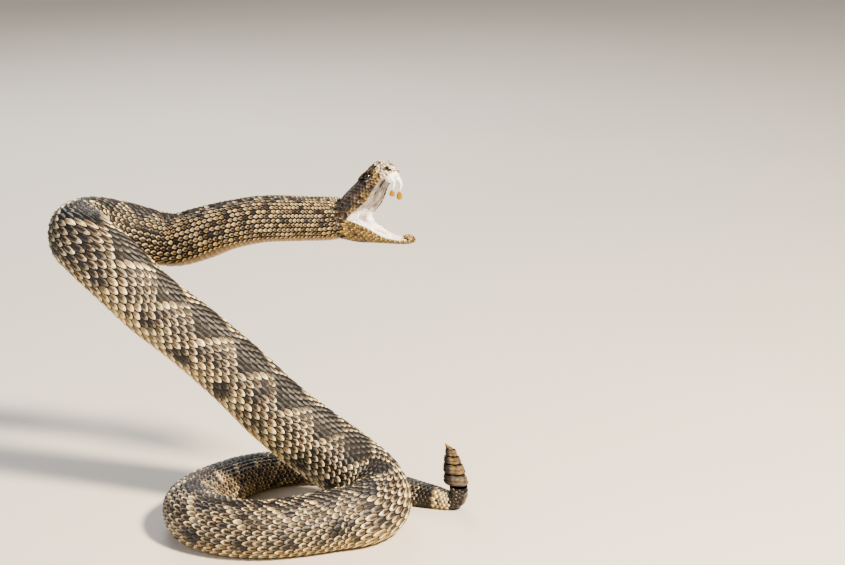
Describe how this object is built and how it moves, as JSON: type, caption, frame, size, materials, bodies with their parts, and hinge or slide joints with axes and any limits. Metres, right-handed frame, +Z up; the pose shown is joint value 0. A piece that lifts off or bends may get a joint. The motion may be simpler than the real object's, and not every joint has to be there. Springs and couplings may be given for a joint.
{
  "type": "western diamondback rattlesnake",
  "caption": "Life-size western diamondback rattlesnake in its striking pose, body raised from a coil, mouth open with fangs bared, rattle upright.",
  "frame": {"origin": "on the floor under the middle of the whole animal's box", "axes": "+X towards the open mouth and the rattle, +Y to the far side of the coil, +Z up from the floor"},
  "size_m": [0.2898, 0.1566, 0.257],
  "materials": {
    "body_scales": "dull keeled scales, brown diamonds with cream borders on tan grey",
    "head_scales": "small dull scales, pale snout",
    "pale_scales": "smooth yellowish cream scales",
    "mouth_lining": "moist pale pink and white skin",
    "eye": "glossy, dark with a slit pupil",
    "fang": "smooth ivory",
    "venom": "clear amber drop",
    "ringed_tail": "dull scales in black and cream rings",
    "rattle_horn": "dry horn, tan to brown, slightly glossy"
  },
  "bodies": {
    "root": {"head": "head_scales", "lower_jaw": "pale_scales", "mouth_lining": "mouth_lining", "eye_left": "eye", "eye_right": "eye", "fang_left": "fang", "fang_right": "fang", "venom_drop_left": "venom", "venom_drop_right": "venom", "neck": "body_scales", "fore_body_bend": "body_scales", "raised_body_upper": "body_scales", "raised_body_lower": "body_scales", "coil_turn": "body_scales", "coil_front": "body_scales", "coil_left": "body_scales", "coil_back": "body_scales", "tail_base": "body_scales", "tail": "ringed_tail", "rattle": "rattle_horn"}
  },
  "joints": []
}
